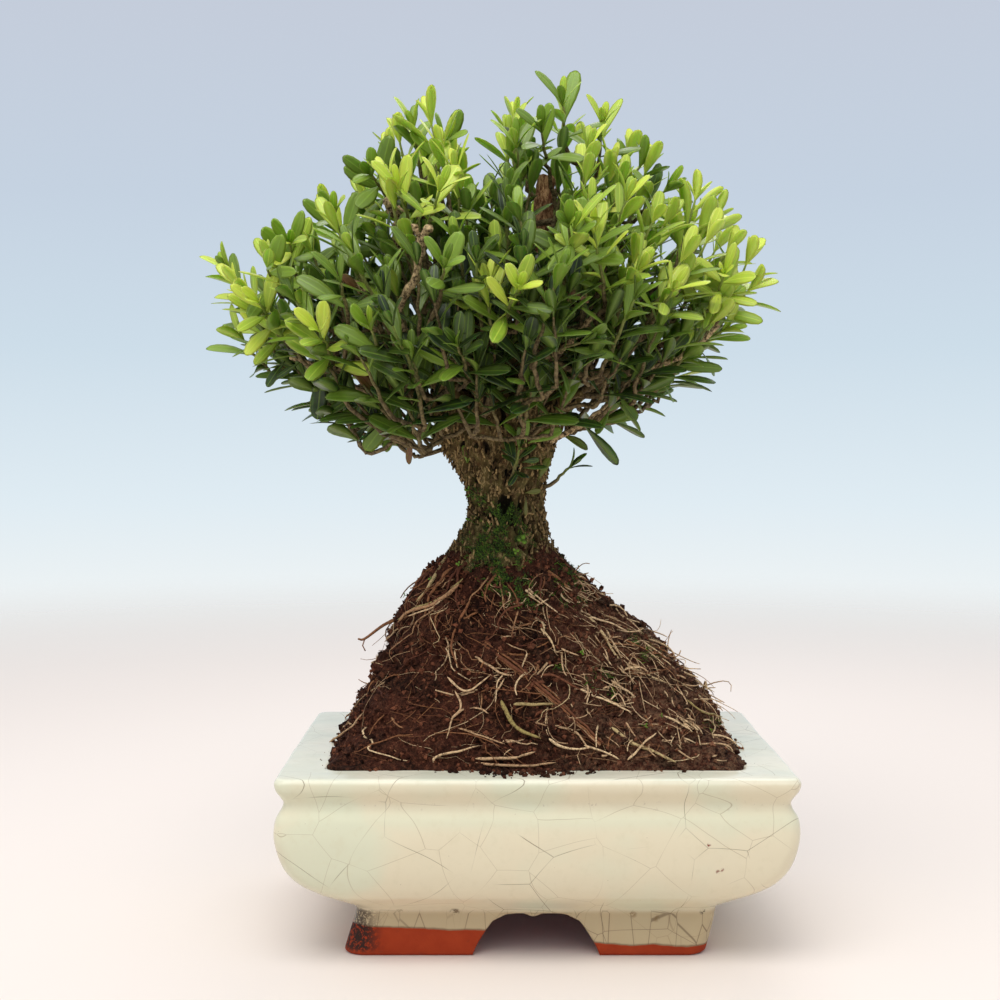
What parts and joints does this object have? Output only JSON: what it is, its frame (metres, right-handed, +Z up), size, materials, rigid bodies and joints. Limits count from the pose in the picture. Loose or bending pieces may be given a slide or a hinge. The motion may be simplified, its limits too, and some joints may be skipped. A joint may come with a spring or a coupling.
{
  "type": "harland boxwood bonsai",
  "caption": "Boxwood bonsai with a corky hourglass trunk, a dome of small oblong leaves and a bare root mound, standing in a glazed rectangular pot.",
  "frame": {"origin": "on the surface that the pot stands on, under the middle of the plant and pot together", "axes": "+Z up, +X along the pot's long side to the picture's right, -Y towards the picture's camera"},
  "size_m": [0.2044, 0.1826, 0.3118],
  "materials": {
    "glaze": "glossy celadon cream glaze with brown crackle, bare terracotta under the feet",
    "screen": "matte moulded plastic",
    "peat": "moist crumbled peat with roots",
    "bark": "corky ridged bark",
    "mature_leaf": "waxy dark green leaf",
    "young_leaf": "soft bright green leaf"
  },
  "bodies": {
    "root": {"drain_screen_left": "screen", "drain_screen_right": "screen", "leafy_stem_01": "young_leaf", "leafy_stem_02": "mature_leaf", "leafy_stem_03": "mature_leaf", "leafy_stem_04": "young_leaf", "leafy_stem_05": "mature_leaf", "leafy_stem_06": "mature_leaf", "leafy_stem_07": "young_leaf", "leafy_stem_08": "mature_leaf", "leafy_stem_09": "mature_leaf", "leafy_stem_10": "young_leaf", "leafy_stem_11": "mature_leaf", "leafy_stem_12": "mature_leaf", "leafy_stem_13": "young_leaf", "leafy_stem_14": "mature_leaf", "leafy_stem_15": "mature_leaf", "leafy_stem_16": "young_leaf", "leafy_stem_17": "mature_leaf", "leafy_stem_18": "mature_leaf", "leafy_stem_19": "young_leaf", "leafy_stem_20": "mature_leaf", "leafy_stem_21": "young_leaf", "leafy_stem_22": "young_leaf", "leafy_stem_23": "young_leaf", "leafy_stem_24": "young_leaf", "leafy_stem_25": "young_leaf", "leafy_stem_26": "young_leaf", "leafy_stem_27": "young_leaf", "leafy_stem_28": "young_leaf", "leafy_stem_29": "young_leaf", "leafy_stem_30": "young_leaf", "leafy_stem_31": "young_leaf", "leafy_stem_32": "young_leaf", "leafy_stem_33": "young_leaf", "leafy_stem_34": "young_leaf", "leafy_stem_35": "young_leaf", "leafy_stem_36": "young_leaf", "leafy_stem_37": "young_leaf", "leafy_stem_38": "young_leaf", "leafy_stem_39": "young_leaf", "leafy_stem_40": "young_leaf", "leafy_stem_41": "young_leaf", "leafy_stem_42": "young_leaf", "leafy_stem_43": "young_leaf", "leafy_stem_44": "young_leaf", "leafy_stem_45": "young_leaf", "leafy_stem_46": "young_leaf", "leafy_stem_47": "young_leaf", "leafy_stem_48": "young_leaf", "leafy_stem_49": "young_leaf", "leafy_stem_50": "young_leaf", "leafy_stem_51": "young_leaf", "leafy_stem_52": "young_leaf", "leafy_stem_53": "young_leaf", "leafy_stem_54": "mature_leaf", "leafy_stem_55": "young_leaf", "pot": "glaze", "root_ball": "peat", "trunk_and_boughs": "bark"}
  },
  "joints": []
}
